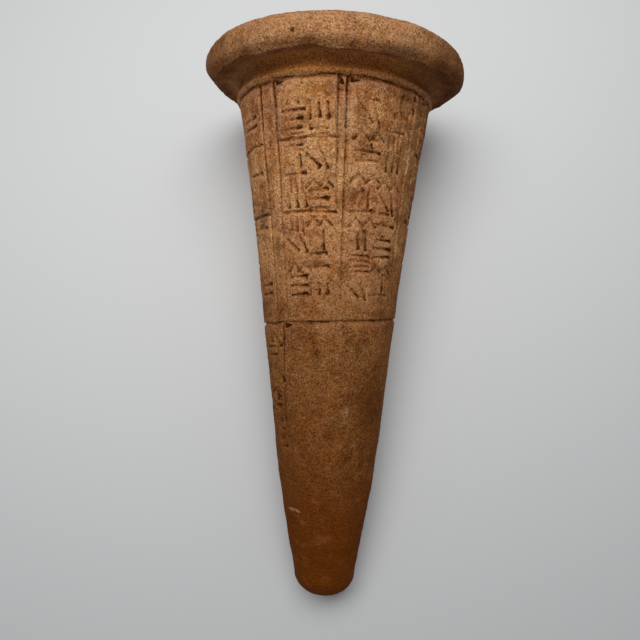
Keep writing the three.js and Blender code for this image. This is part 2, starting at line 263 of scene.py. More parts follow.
STYLUS_LENGTH = 1.5  # of the tool as it is first made, with a radius of 1
STYLUS_WIDTH = math.sqrt(3)
STYLUS_LIFT = 0.9  # how far the tool stands out of the clay
VARY_STEP = 12.9898
VARY_SCALE = 43758.5453
FLAKE_ANGLE = 47
FLAKE_HEIGHT = SHAFT_LENGTH - 3.6
FLAKE_REACH = (6, 2.1)  # half its size, in degrees round the shaft and in mm along it
FLAKE_CUTS = 16

hand = random.Random(11)

cutters = bpy.data.collections.new("cutters")
bpy.context.scene.collection.children.link(cutters)

# The stylus corner: a three-sided point that looks into the clay, its tail along -X.
bpy.ops.mesh.primitive_cone_add(vertices=3, radius1=1, depth=1, location=(0, 0, -0.5))
stylus = bpy.context.object
bpy.ops.object.transform_apply(location=True, rotation=False, scale=False)
bpy.ops.object.mode_set(mode="EDIT")
bpy.ops.mesh.select_all(action="SELECT")
bpy.ops.transform.rotate(value=math.pi, orient_axis="X", center_override=(0, 0, 0))
bpy.ops.transform.rotate(value=math.pi / 2, orient_axis="Z", center_override=(0, 0, 0))
bpy.ops.object.mode_set(mode="OBJECT")

# A length of ruled line: a bar with a diamond section, one unit long along Y.
bpy.ops.mesh.primitive_cylinder_add(
    vertices=4, radius=1, depth=1, location=(0, 0, 0), rotation=(math.pi / 2, 0, 0)
)
line_tool = bpy.context.object
bpy.ops.object.transform_apply(location=False, rotation=True, scale=False)

# A lump of clay that came away.
bpy.ops.mesh.primitive_ico_sphere_add(subdivisions=2, radius=1, location=(0, 0, 0))
flake_tool = bpy.context.object


def surface_frame(degrees, height):
    """A place on the shaft: columns are round the shaft, towards the head, and out."""
    angle = math.radians(degrees)
    out = Vector((math.sin(angle), -math.cos(angle), 0))
    head = Vector((0, 0, 1))
    turned = Matrix((head.cross(out), head, out)).transposed().to_4x4()
    turned.translation = out * shaft_radius(height) + head * height
    return turned


def beside(degrees, height, across):
    """The angle of a place some millimetres round the shaft from another."""
    return degrees + math.degrees(across / shaft_radius(height))


def cut(tool, place):
    """Adds a copy of a tool to the cutters, with its place in its mesh."""
    mesh = tool.data.copy()
    mesh.transform(place)
    cutters.objects.link(bpy.data.objects.new("cut", mesh))


def scaled(x, y, z):
    return Matrix.Diagonal((x, y, z, 1))


def press(degrees, height, turn, length, width, depth):
    """One stroke: a wide head and a narrowing tail, turned from round the shaft.

    The stylus is held aslant, so that one wall of the stroke is steeper than the other.
    """
    high = depth + STYLUS_LIFT
    grow = high / depth
    shape = scaled(grow * length / STYLUS_LENGTH, grow * width / STYLUS_WIDTH, high)
    sunk = Matrix.Translation((0, 0, -depth))
    slant = Matrix.Identity(4)
    slant[1][2] = -STROKE_STEEPNESS * width / depth
    turned = Matrix.Rotation(math.radians(turn), 4, "Z")
    cut(stylus, surface_frame(degrees, height) @ turned @ slant @ sunk @ shape)


def incise(start, end, width, depth, wander, step=5.0, tail=1.0):
    """A line drawn over the clay between two places, in short lengths that follow it.

    Its wall nearer the head is the steeper one. It starts at the tail's share of its size.
    """
    round_mm = math.radians(end[0] - start[0]) * shaft_radius((start[1] + end[1]) / 2)
    pieces = max(1, math.ceil(math.hypot(round_mm, end[1] - start[1]) / step))
    places = []
    for count in range(pieces + 1):
        share = count / pieces
        degrees = start[0] + (end[0] - start[0]) * share
        height = start[1] + (end[1] - start[1]) * share
        stray = wander * hand.uniform(-1, 1) * (0 < count < pieces)
        if abs(round_mm) > abs(end[1] - start[1]):
            height += stray
        else:
            degrees = beside(degrees, height, stray)
        places.append((degrees, height))
    for count, (here, there) in enumerate(zip(places, places[1:])):
        at, to = surface_frame(*here), surface_frame(*there)
        along = (to.translation - at.translation).normalized()
        side = along.cross(at.col[2].xyz).normalized()
        basis = Matrix((side, along, side.cross(along))).transposed().to_4x4()
        basis.translation = (at.translation + to.translation) / 2
        reach = (to.translation - at.translation).length + LINE_OVERLAP * width
        uneven = hand.uniform(*LINE_SPREAD)
        grown = tail + (1 - tail) * (count + 0.5) / pieces
        slant = Matrix.Identity(4)
        slant[0][2] = LINE_STEEPNESS * width / depth
        cut(line_tool, basis @ slant @ scaled(width / 2 * grown, reach, depth * uneven * grown))


def hollow(degrees, height, width, length, depth, turn=0.0, rise=1.0):
    """A shallow rounded hollow where clay was pushed in, or with no rise a crisp break."""
    turned = Matrix.Rotation(math.radians(turn), 4, "Z")
    lift = rise * depth
    shape = Matrix.Translation((0, 0, lift)) @ scaled(width / 2, length / 2, lift + depth)
    cut(flake_tool, surface_frame(degrees, height) @ turned @ shape)


def vary(number):
    """A repeatable value from 0 to 1 for a number, for the hand's small variations."""
    wave = math.sin(number * VARY_STEP) * VARY_SCALE
    return wave - math.floor(wave)


def ruling_angle(index):
    swing = RULING_SWING * math.sin(SWING_STEP * (index % STRIP_COUNT))
    return FIRST_RULING + index * (360 / STRIP_COUNT) - swing


def ruling_gap(index):
    return WIDE_GAP if (index % STRIP_COUNT) % 2 == 0 else NARROW_GAP


def ruling(index, top, bottom, lines=(-0.5, 0.5), drift=0.0):
    """A ruling down the shaft, as one line or two, each fading down from its stylus pit."""
    for side in lines:
        degrees = ruling_angle(index) + side * ruling_gap(index)
        share = RULING_SHARES.get((index, side), 1.0)
        foot = (degrees + share * drift, top + share * (bottom - top))
        width, depth = MIDDLE_RULING_CUT if index == MIDDLE_RULING else RULING_CUT
        incise(foot, (degrees, top), width, depth, LINE_WANDER, tail=RULING_FADE)
        if side < 0:
            turn = -90 + hand.uniform(-DOWN_PIT_SWAY, DOWN_PIT_SWAY)
            press(degrees, top - 0.9, turn, *DOWN_PIT)
        else:
            turn = 180 + hand.uniform(-SIDE_PIT_SWAY, SIDE_PIT_SWAY)
            press(beside(degrees, top, 0.3 * SIDE_PIT[0]), top - 0.2, turn, *SIDE_PIT)


def mark_kinds():
    """The kinds of group that the strokes come in.

    Each has its greatest count of strokes, and a function of a stroke's place in the group. That
    gives how far the stroke lies across and along, in spacings, its turn, and its length.
    """
    bars = (3, lambda gap, order: (0, gap, 0, 1))
    slanting = (2, lambda gap, order: (1.3 * gap, 0, -50 - 20 * order, 0.85))
    upright = (3, lambda gap, order: (gap, 0.2, -90, 0.7))
    crossed = (2, lambda gap, order: (-gap, 0.3, -90, 1) if order == 0 else (0, -1.2, 0, 1))
    return (bars, slanting, upright, crossed)


def stroke(degrees, height, turn, length, width, head):
    """A stroke as the stylus leaves it: a deep wedge at one end and a thin drawn-out tail."""
    lean = math.radians(turn)
    per_degree = math.radians(1) * shaft_radius(height)
    half = (length / 2 * math.cos(lean) / per_degree, length / 2 * math.sin(lean))
    incise(
        (degrees - half[0], height - half[1]),
        (degrees + half[0], height + half[1]),
        STROKE_LINE[0] * width,
        STROKE_LINE[1] * width,
        wander=0.08,
        step=1.4,
        tail=STROKE_TAIL,
    )
    if hand.random() < HEADED_SHARE:
        here = degrees + HEAD_PLACE * half[0]
        there = height + HEAD_PLACE * half[1]
        grown = HEAD_GROWTH * head * hand.uniform(*HEAD_SPREAD)
        press(here, there, turn, min(LONGEST_HEAD, length), grown, HEAD_DEPTH * grown)


def stroke_group(kind, degrees, height, width, seed):
    """A small group of like strokes round one place."""
    most, mark = kind
    count = min(most, 2 + math.floor(2 * vary(seed)))
    size = 0.85 + 0.3 * vary(seed + 0.5)
    for order in range(count):
        across, along, turn, share = mark(order - (count - 1) / 2, order)
        length = share * width * (0.9 + 0.28 * vary(seed + order))
        turn += TURN_SPREAD * (vary(seed + order + 7) - 0.5)
        here = beside(degrees, height, across * STROKE_SPACING)
        there = height + along * STROKE_SPACING
        stroke(here, there, turn, length, width=0.75 * size, head=1.2 * size)


def zigzag(degrees, height, width, seed):
    """Slanting strokes that meet at their ends."""
    for side in (-0.5, 0.5):
        for lean in (-1, 1):
            here = beside(degrees, height, width * (0.5 * side + 0.12 * lean))
            turn = -90 + lean * (42 + 12 * vary(seed + 3 * lean + side))
            stroke(here, height, turn, length=2.6, width=0.65, head=0.9)


def fine_bars(degrees, height, width, seed, turn):
    """Three or four fine strokes side by side."""
    count = 3 + math.floor(1.9 * vary(seed + 41))
    for order in range(count):
        gap = order - (count - 1) / 2
        across, along = (0, 1.1 * gap) if turn == 0 else (1.2 * gap, 0)
        across += 0.35 * (vary(seed + order + 43) - 0.5)
        here = beside(degrees, height, across)
        length = (0.85 * width if turn == 0 else 3.2) * (0.75 + 0.25 * vary(seed + order + 23))
        turned = turn + 9 * (vary(seed + order + 19) - 0.5)
        stroke(here, height + along, turned, length, width=0.6, head=0.8)


def sunk_bar(degrees, height, width, seed):
    """A wide shallow hollow with a deep lower edge, and a short mark over it."""
    turn = 8 * (vary(seed + 47) - 0.5)
    hollow(degrees, height, width=0.9 * width, length=1.7, depth=0.38, turn=turn)
    turn = 8 * vary(seed + 49) - 4
    stroke(degrees, height - 0.45, turn, length=0.95 * width, width=0.8, head=0.9)
    stroke(degrees - 2, height + 1.9, 0, length=0.5 * width, width=0.75, head=0.9)


def small_marks(degrees, height, width, seed):
    """Lesser strokes between two groups of a file."""
    choice = math.floor(4 * vary(seed + 13))
    if choice == 0:
        zigzag(degrees, height, width, seed)
    elif choice == 1:
        fine_bars(degrees, height, width, seed, -90)
    elif choice == 2:
        sunk_bar(degrees, height, width, seed)
    else:
        fine_bars(degrees, height, width, seed, 0)


def strip_of_strokes(index, top, bottom):
    """The strokes of one strip between two heights, in files and rows."""
    start = ruling_angle(index) + ruling_gap(index) / 2 + STRIP_MARGIN
    end = ruling_angle(index + 1) - ruling_gap(index + 1) / 2 - STRIP_MARGIN
    rows = max(1, math.floor((top - bottom - 2 * BAND_MARGIN) / ROW_PITCH))
    pitch = (top - bottom - 2 * BAND_MARGIN) / rows
    kinds = mark_kinds()
    for file in range(FILES_PER_STRIP):
        degrees = start + (end - start) * (file + 0.5) / FILES_PER_STRIP
        for row in range(rows):
            seed = 100 * index + 10 * row + file
            stray = ROW_SPREAD * (vary(seed + 3) - 0.5)
            height = top - BAND_MARGIN - (row + 0.5 + stray) * pitch
            room = math.radians((end - start) / FILES_PER_STRIP) * shaft_radius(height)
            kind = kinds[(3 * row + 2 * file + index) % len(kinds)]
            stroke_group(kind, degrees, height, STROKE_FILL * room, seed)
            if row < rows - 1 or rows == 1:
                small_marks(degrees, height - 0.5 * pitch, room, seed)
            if vary(seed + 37) > 0.5:
                aside = degrees + 6 * (vary(seed + 31) - 0.5)
                turn = -90 * vary(seed + 33)
                stroke(aside, height + 0.3 * pitch, turn, length=1.8, width=0.6, head=0.9)


def case_lines(index, top, bottom):
    """Cross lines that part the even strips into cases."""
    if index % 2:
        return
    left = ruling_angle(index) + ruling_gap(index) / 2
    right = ruling_angle(index + 1) - ruling_gap(index + 1) / 2
    for share in CASE_SHARES:
        height = top + (bottom - top) * share
        incise((left, height), (right, height), 0.95, 0.6, LINE_WANDER, step=1.8)


# The ring line, and the line under the collar, each drawn round by hand.
for height, width, depth, wander, step in (
    (RING_HEIGHT, 1.0, 0.5, 0.16, 2.2),
    (SHAFT_LENGTH, 0.9, 0.32, 0.3, 2.4),
):
    incise((-180, height), (180, height), width, depth, wander, step)

low = RING_HEIGHT - LOWER_BAND_LENGTH
for index in range(STRIP_COUNT):
    ruling(index, SHAFT_LENGTH, RING_HEIGHT)
    case_lines(index, SHAFT_LENGTH, RING_HEIGHT)
    strip_of_strokes(index, SHAFT_LENGTH, RING_HEIGHT)
for back in range(LOWER_STRIPS):
    index = STRIP_COUNT - 1 - back
    ruling(index + 1, RING_HEIGHT, low, lines=(0,), drift=LOWER_DRIFT)
    strip_of_strokes(index, RING_HEIGHT, low)

# Deeper strokes down the lower band.
for degrees, height, turn, length, width in (
    (-41, 58.0, 180, 2.8, 2.0),
    (-60, 57.6, -90, 4.2, 3.4),
    (-50, 56.4, -72, 4.8, 3.2),
    (-50, 48.4, -65, 4.6, 4.4),
    (-59, 45.0, 180, 3.6, 4.0),
    (-58, 41.9, -20, 3.2, 3.4),
    (-49, 36.6, -52, 5.4, 2.6),
    (-55, 36.2, -128, 4.8, 2.4),
    (-49.5, 34.4, -90, 2.6, 2.8),
):
    press(degrees, height, turn, length, width, DEEP_STROKE_DEPTH * width)

# The flake beside a ruling, the nick near the tip, and scratches in the bare clay.
for _ in range(FLAKE_CUTS):
    around = hand.uniform(0, 2 * math.pi)
    away = hand.uniform(0, 1)
    hollow(
        FLAKE_ANGLE + FLAKE_REACH[0] * away * math.cos(around),
        FLAKE_HEIGHT + FLAKE_REACH[1] * away * math.sin(around),
        width=hand.uniform(2.0, 3.8),
        length=hand.uniform(1.8, 3.4),
        depth=hand.uniform(0.35, 0.55),
        turn=hand.uniform(-60, 60),
        rise=0.1,
    )
for start, end, width, depth, wander in (
    ((53, SHAFT_LENGTH - 0.8), (56, SHAFT_LENGTH - 5.6), 0.9, 0.8, 0.3),
    ((42, SHAFT_LENGTH - 4.6), (50, SHAFT_LENGTH - 5.8), 0.8, 0.6, 0.25),
):
    incise(start, end, width, depth, wander, step=1.0)
hollow(-46, 19.8, width=2.9, length=1.5, depth=0.4, turn=-12)
hollow(-50, 20.6, width=1.4, length=1.3, depth=0.3)
for start, end in (((34, 13.6), (62, 16.8)), ((28, 15.0), (47, 16.6)), ((24, 27.4), (38, 30.4))):
    incise(start, end, width=0.6, depth=0.22, wander=0.08, step=1.2, tail=0.4)

cutting = cone.modifiers.new("inscription", "BOOLEAN")
cutting.operation = "DIFFERENCE"
cutting.solver = "MANIFOLD"
cutting.operand_type = "COLLECTION"
cutting.collection = cutters
bpy.context.view_layer.objects.active = cone
bpy.ops.object.modifier_apply(modifier="inscription")
for spent in [*cutters.objects, stylus, line_tool, flake_tool]:
    bpy.data.objects.remove(spent)
bpy.data.collections.remove(cutters)


# The hand-made surface
# The arrises are worn soft, the clay is uneven where it was patted, and sand grains and
# small pits show. The whole is a little out of round, bent, and leans in the head.

VOXEL = 0.165
TRIANGLES = 190000
SOFTENING = 0.5
HOLE_SPACING = 5.5  # small holes in the clay
HOLE_DEPTH = 0.34
HOLE_WIDTH = 0.16  # as a share of their spacing


def apply_modifier(kind, **settings):
    made = cone.modifiers.new(kind.lower(), kind)
    for name, value in settings.items():
        setattr(made, name, value)
    bpy.ops.object.modifier_apply(modifier=made.name)


def roughen(grain, strength, where="", detail=1):
    """Moves the surface in and out by a soft pattern with features of a size in mm."""
    pattern = bpy.data.textures.new("roughen", "CLOUDS")
    pattern.noise_scale = grain
    pattern.noise_depth = detail
    apply_modifier(
        "DISPLACE",
        texture=pattern,
        texture_coords="LOCAL",
        strength=strength,
        mid_level=0.5,
        vertex_group=where,
    )
    bpy.data.textures.remove(pattern)


bpy.ops.object.select_all(action="DESELECT")
cone.select_set(True)
bpy.context.view_layer.objects.active = cone
apply_modifier("REMESH", mode="VOXEL", voxel_size=VOXEL)
apply_modifier("SMOOTH", factor=SOFTENING, iterations=1)


def points_of(mesh):
    flat = np.empty(len(mesh.vertices) * 3)
    mesh.vertices.foreach_get("co", flat)
    return flat.reshape(-1, 3)


def move_points(mesh, places):
    mesh.vertices.foreach_set("co", places.ravel())
    mesh.update()


def smoothstep(value, low_edge, high_edge):
    share = np.clip((value - low_edge) / (high_edge - low_edge), 0, 1)
    return share * share * (3 - 2 * share)


def weigh(name, share):
    """A vertex group in which each point weighs its share, to the nearest tenth."""
    group = cone.vertex_groups.new(name=name)
    for level in np.linspace(0.1, 1.0, 10):
        chosen = np.flatnonzero(np.abs(share - level) <= 0.05)
        group.add(chosen.tolist(), float(level), "REPLACE")


UNDERSIDE_HEIGHT = RIM_HEIGHT - RIM_HALF_THICKNESS
LIP_START = NECK_RADIUS + 0.8
LIP_DROOP = 1.5
LIP_FULLNESS = 0.12
LIP_RUBBING = 36  # rounds of smoothing


def fuller_lip(place):
    """The lip's lower edge, fuller and less even on the side that faces up."""
    x, y, height = place.T
    angle = np.arctan2(x, -y)
    radius = np.maximum(np.hypot(x, y), 1e-6)
    facing_up = smoothstep(np.cos(angle), -0.1, 0.7)
    uneven = 1 + 0.2 * np.sin(11 * angle + 0.7) + 0.15 * np.sin(23 * angle + 2.1)
    outer = smoothstep(radius, LIP_START, HEAD_RADIUS - 2.5)
    below = 1 - smoothstep(height, UNDERSIDE_HEIGHT, RIM_HEIGHT + 2.8)
    droop = LIP_DROOP * facing_up * uneven * outer * below
    stretch = (radius + LIP_FULLNESS * droop) / radius
    return np.stack([x * stretch, y * stretch, height - droop], axis=1)


lipped = fuller_lip(points_of(cone.data))
move_points(cone.data, lipped)
in_rim = smoothstep(lipped[:, 2], UNDERSIDE_HEIGHT - 1.6, RIM_HEIGHT - 2.6)
in_rim *= smoothstep(np.hypot(lipped[:, 0], lipped[:, 1]), LIP_START, NECK_RADIUS + 3)
weigh("rim", in_rim)
apply_modifier("SMOOTH", factor=SOFTENING, iterations=LIP_RUBBING, vertex_group="rim")

# Lumps that patting left, smaller unevenness and grit, more of it on the rim, and holes.
roughen(9.0, 0.4)
roughen(2.6, 0.14)
roughen(0.8, 0.07, detail=0)
roughen(4.2, 0.2, where="rim")
roughen(1.3, 0.14, where="rim")
holes = bpy.data.textures.new("holes", "VORONOI")
holes.noise_scale = HOLE_SPACING
holes.use_color_ramp = True
holes.color_ramp.elements[0].color = (0, 0, 0, 1)
holes.color_ramp.elements[1].color = (1, 1, 1, 1)
holes.color_ramp.elements[1].position = HOLE_WIDTH
apply_modifier(
    "DISPLACE", texture=holes, texture_coords="LOCAL", strength=HOLE_DEPTH, mid_level=1.0
)
bpy.data.textures.remove(holes)

OUT_OF_ROUND = 0.28
OVAL_START = 0.6
OVAL_TWIST_LENGTH = 45
TRIAD_TWIST_LENGTH = 27
TRIAD_SHARE = 0.5
AXIS_BEND = -0.15
LIP_LEAN_SIDE = 1.5
CROWN_LEAN_SIDE = 0.1
HEAD_LEAN_FRONT = 1.6
RING_SLANT = 2.9
RING_REACH = 9
LIP_WAVE = 0.28
LUMP_ANGLE = 24
LUMP_HEIGHT = 1.1
LUMP_SIZE = 3.2
LUMP_BULGE = 0.6


def hand_formed(place):
    """Points of the true, round form, moved to where the potter's hand left them."""
    x, y, height = place.T
    angle = np.arctan2(x, -y)
    radius = np.maximum(np.hypot(x, y), 1e-6)
    oval = np.sin(2 * angle + OVAL_START + height / OVAL_TWIST_LENGTH)
    triad = np.sin(3 * angle - height / TRIAD_TWIST_LENGTH)
    swelling = OUT_OF_ROUND * (oval + TRIAD_SHARE * triad) * (radius / SHAFT_TOP_RADIUS)
    lip_height = RIM_HEIGHT - 0.6 * RIM_HALF_THICKNESS
    near_lip = np.exp(-(((height - lip_height) / RIM_HALF_THICKNESS) ** 2))
    near_lip *= smoothstep(radius, NECK_RADIUS, HEAD_RADIUS)
    ripple = LIP_WAVE * (np.sin(5 * angle + 1.0) + 0.6 * np.sin(9 * angle + 0.4))
    from_lump = angle - math.radians(LUMP_ANGLE)
    lump_side = radius * np.arctan2(np.sin(from_lump), np.cos(from_lump))
    lump = LUMP_HEIGHT * np.exp(-((lump_side / LUMP_SIZE) ** 2))
    lip = (ripple + lump) * near_lip
    in_head = smoothstep(height, SHAFT_LENGTH, RIM_HEIGHT)
    in_crown = smoothstep(height, RIM_HEIGHT, RIM_HEIGHT + RIM_HALF_THICKNESS)
    side_lean = np.radians(LIP_LEAN_SIDE + (CROWN_LEAN_SIDE - LIP_LEAN_SIDE) * in_crown)
    lean = in_head * (math.tan(math.radians(HEAD_LEAN_FRONT)) * y - np.tan(side_lean) * x)
    near_ring = np.exp(-(((height - RING_HEIGHT) / RING_REACH) ** 2))
    slant = near_ring * math.tan(math.radians(RING_SLANT)) * x
    stretch = (radius + swelling + LUMP_BULGE * lump * near_lip) / radius
    bend = AXIS_BEND * np.sin(math.pi * height / CROWN_HEIGHT)
    return np.stack([x * stretch + bend, y * stretch, height + lean + slant - lip], axis=1)


move_points(cone.data, hand_formed(points_of(cone.data)))
apply_modifier("DECIMATE", ratio=TRIANGLES / (2 * len(cone.data.polygons)))

# The cone lies down on the flat spots worn under its rim and its tip.
REST_TURN = -79.15644
REST_SHIFT = (-0.0519, -61.1428, 5.5530)
MILLIMETRE = 0.001

laid = (
    Matrix.Scale(MILLIMETRE, 4)
    @ Matrix.Translation(REST_SHIFT)
    @ Matrix.Rotation(math.radians(REST_TURN), 4, "X")
)
cone.data.transform(laid)
low_corner, high_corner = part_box("cone")
move_points(cone.data, np.clip(points_of(cone.data), low_corner, high_corner))
cone.data.polygons.foreach_set("use_smooth", [True] * len(cone.data.polygons))


def hollowness(mesh, rounds):
    """How far below its surroundings each point lies, in mm; raised points are negative."""
    place = points_of(mesh)
    facing = np.empty(len(place) * 3)
    mesh.vertex_normals.foreach_get("vector", facing)
    ends = np.empty(len(mesh.edges) * 2, dtype=np.int32)
    mesh.edges.foreach_get("vertices", ends)
    one, other = ends.reshape(-1, 2).T
    start, finish = np.r_[one, other], np.r_[other, one]
    neighbours = np.bincount(start, minlength=len(place))
    mean = place.copy()
    for _ in range(rounds):
        mean = np.stack(
            [np.bincount(start, mean[finish, axis], len(place)) for axis in range(3)], axis=1
        )
        mean /= neighbours[:, None]
    return ((mean - place) * facing.reshape(-1, 3)).sum(axis=1) / MILLIMETRE


for name, rounds in (("fine_hollow", 3), ("deep_hollow", 14)):
    layer = cone.data.attributes.new(name, "FLOAT", "POINT")
    layer.data.foreach_set("value", hollowness(cone.data, rounds).astype(np.float32))

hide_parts("cone")
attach(cone, "root")


# The clay
# Sandy clay, fired low and buried for a long time: matt and grainy, warm brown, with
# darker earth left in the strokes, pale dust on what stands out, and grey-white deposits.

CLAY_MIDDLE = "#AD703B"
CLAY_LIGHT = "#BE8751"
CLAY_RED = "#9C5730"
# The neck's orange clay, made lighter as painted light in the shade under the lip.
NECK_CLAY_AND_LIGHT = "#CC8444"
CLAY_LOWER = "#7E4C21"
CLAY_TIP = "#703602"
# Used for real stains and for painted shade under the lip, at the rim's ends and on the right
# side.
STAIN_AND_PAINTED_SHADE = "#5C300B"
EARTH = "#281504"
DUST = "#E2AE84"
RIM_CLAY = "#8F6848"
# Pale sand grains and painted glints of light on them.
PALE_GRAIN_AND_GLINT = "#A6B1BC"
DARK_GRAIN = "#9F9073"
FRESH_CLAY = "#D3A06A"
DEPOSIT = "#BFA07C"
GREY_EARTH = "#4B4035"
SAND = {"detail": 2, "harshness": 0.6}  # how fine and ragged a pattern is
# The ragged pattern of the painted shade on the right side.
SIDE_SHADE_PATTERN = {"detail": 4, "harshness": 0.7}
STAIN = {"detail": 4, "harshness": 0.6}
PATCH_EDGES = (2.2, 1.2)
BUMP_HEIGHT = 0.5


def linear(colour):
    """An sRGB hex value as the linear colour that a shader takes."""
    parts = [int(colour[i : i + 2], 16) / 255 for i in (1, 3, 5)]
    return [
        *(part / 12.92 if part <= 0.04045 else ((part + 0.055) / 1.055) ** 2.4 for part in parts),
        1.0,
    ]


fired_clay = bpy.data.materials.new("low_fired_sandy_clay")
fired_clay.use_nodes = True
tree = fired_clay.node_tree
tree.nodes.clear()


def add_node(kind, inputs, output=0, **settings):
    """Adds a node with its settings and its linked or fixed inputs, and gives an output."""
    made = tree.nodes.new(kind)
    for name, value in settings.items():
        setattr(made, name, value)
    for socket, value in inputs.items():
        if isinstance(value, bpy.types.NodeSocket):
            tree.links.new(value, made.inputs[socket])
        else:
            made.inputs[socket].default_value = value
    return made.outputs[output]


# Places on the cone in its upright frame, in millimetres, which all the patterns read.
place = add_node(
    "ShaderNodeMapping",
    {
        "Vector": add_node("ShaderNodeTexCoord", {}, "Object"),
        "Location": [shift * MILLIMETRE for shift in REST_SHIFT],
        "Rotation": (math.radians(REST_TURN), 0, 0),
        "Scale": (MILLIMETRE, MILLIMETRE, MILLIMETRE),
    },
    vector_type="TEXTURE",
)
across = add_node("ShaderNodeSeparateXYZ", {0: place}, "X")
height = add_node("ShaderNodeSeparateXYZ", {0: place}, "Z")
fine_hollow = add_node("ShaderNodeAttribute", {}, "Fac", attribute_name="fine_hollow")
deep_hollow = add_node("ShaderNodeAttribute", {}, "Fac", attribute_name="deep_hollow")


def reach_of(shown_by, edges, share=1.0, within=None, detail=3, harshness=0.5):
    """The share of the surface that something covers, as what shows it passes two edges.

    It is shown by a value of the surface, or by a soft pattern with features of a size in mm.
    """
    if not isinstance(shown_by, bpy.types.NodeSocket):
        shown_by = add_node(
            "ShaderNodeTexNoise",
            {"Vector": place, "Scale": 1 / shown_by, "Detail": detail, "Roughness": harshness},
        )
    cover = add_node(
        "ShaderNodeMapRange",
        {"Value": shown_by, "From Min": edges[0], "From Max": edges[1], "To Max": share},
        interpolation_type="SMOOTHSTEP",
    )
    if within:
        cover = add_node("ShaderNodeMath", {0: cover, 1: within}, operation="MULTIPLY")
    return cover


def coat(under, over, *shown, way="MIX", **settings):
    """Lays a colour over what is there, or lightens or darkens it, as far as its reach.

    After the colour come what shows the reach, its two edges, its share and what it is within.
    """
    return add_node(
        "ShaderNodeMix",
        {0: reach_of(*shown, **settings), 6: under, 7: linear(over)},
        2,
        data_type="RGBA",
        blend_type=way,
    )


def patch(under, over, degrees, up, reach, share, grain, raggedness=2.4, lift=0.0):
    """A ragged patch of colour round a place on the shaft, or lifted off it on to the rim."""
    angle = math.radians(degrees)
    centre = surface_frame(degrees, up) @ Vector((0, 0, lift))
    local = add_node(
        "ShaderNodeMapping",
        {"Vector": place, "Location": centre, "Rotation": (0, 0, angle), "Scale": reach},
        vector_type="TEXTURE",
    )
    away = add_node("ShaderNodeVectorMath", {0: local}, "Value", operation="LENGTH")
    ragged = add_node(
        "ShaderNodeTexNoise",
        {"Vector": place, "Scale": 1 / grain, "Detail": 4, "Roughness": 0.7},
    )
    spread = add_node(
        "ShaderNodeMath", {0: ragged, 1: raggedness, 2: away}, operation="MULTIPLY_ADD"
    )
    return coat(under, over, spread, PATCH_EDGES, share)


below_head = reach_of(height, (113, 104))
head = reach_of(height, (107, 111))
tip = reach_of(height, (52.5, 11), 0.9)
off_tip = reach_of(height, (-20, 40), 0.95)
under_collar = reach_of(height, (109.8, 108.4))
round_mm = add_node("ShaderNodeMapping", {"Vector": place, "Scale": (1, 1, 0)})
from_axis = add_node("ShaderNodeVectorMath", {0: round_mm}, "Value", operation="LENGTH")
from_middle = add_node("ShaderNodeMath", {0: across}, operation="ABSOLUTE")
below_rim = reach_of(height, (114.2, 112.8))
neck = reach_of(from_axis, (25.5, 22.5), 1.0, reach_of(from_middle, (21, 9), 1.0, below_rim))
rim = reach_of(from_axis, (22, 26), 1.0, head)

colour = coat(linear(CLAY_MIDDLE), CLAY_LIGHT, 8, (0.42, 0.6))
colour = coat(colour, CLAY_RED, 11, (0.48, 0.62), 0.6)
colour = coat(colour, DUST, fine_hollow, (-0.004, -0.045), 0.35)
colour = coat(colour, RIM_CLAY, height, (108.5, 112), 0.35)
# Painted shade: the collar, the neck and the underside of the lip darkened where the lip shades
# them.
colour = coat(colour, STAIN_AND_PAINTED_SHADE, height, (113.5, 111.8), 0.45, head)
colour = coat(colour, CLAY_LOWER, height, (82, 50), 0.8)
colour = coat(colour, STAIN_AND_PAINTED_SHADE, 5, (0.5, 0.66), 0.5, below_head, **STAIN)
colour = coat(colour, CLAY_TIP, height, (52.5, 11), 0.92)
colour = coat(colour, CLAY_MIDDLE, 3.5, (0.54, 0.7), 0.4, off_tip)
colour = coat(colour, STAIN_AND_PAINTED_SHADE, 2.4, (0.54, 0.68), 0.35, off_tip)
# Painted shade: the rim darkened towards its left and right ends, where it turns away from the
# lamp.
colour = coat(colour, STAIN_AND_PAINTED_SHADE, across, (12, 26), 0.75, rim)
colour = coat(colour, STAIN_AND_PAINTED_SHADE, across, (-15, -27), 0.6, rim)
# The neck's orange clay tone, made lighter as painted light in the shade under the lip.
colour = coat(colour, NECK_CLAY_AND_LIGHT, height, (108.3, 109.2), 0.8, neck)

# Grains of sand, pale and dark, the pale ones lightened bluish-white as pale grains and as
# painted glints on them. The real ones are finer, about 0.1 to 0.2 mm, and are drawn at twice
# that to show.
colour = coat(colour, PALE_GRAIN_AND_GLINT, 0.34, (0.5, 0.67), 0.9, off_tip, way="DODGE", **SAND)
colour = coat(colour, DARK_GRAIN, 0.38, (0.5, 0.66), 0.9, off_tip, way="MULTIPLY", **SAND)
# More pale grains with painted glints, and dark grains, on the lower shaft.
gritty = reach_of(height, (8, 48), within=reach_of(height, (68, 58)))
colour = coat(colour, PALE_GRAIN_AND_GLINT, 0.4, (0.54, 0.68), 0.7, gritty, way="DODGE", **SAND)
colour = coat(colour, DARK_GRAIN, 0.44, (0.54, 0.68), 0.7, gritty, way="MULTIPLY", **SAND)
colour = coat(colour, EARTH, 0.42, (0.57, 0.68), 0.4, below_head, **SAND)

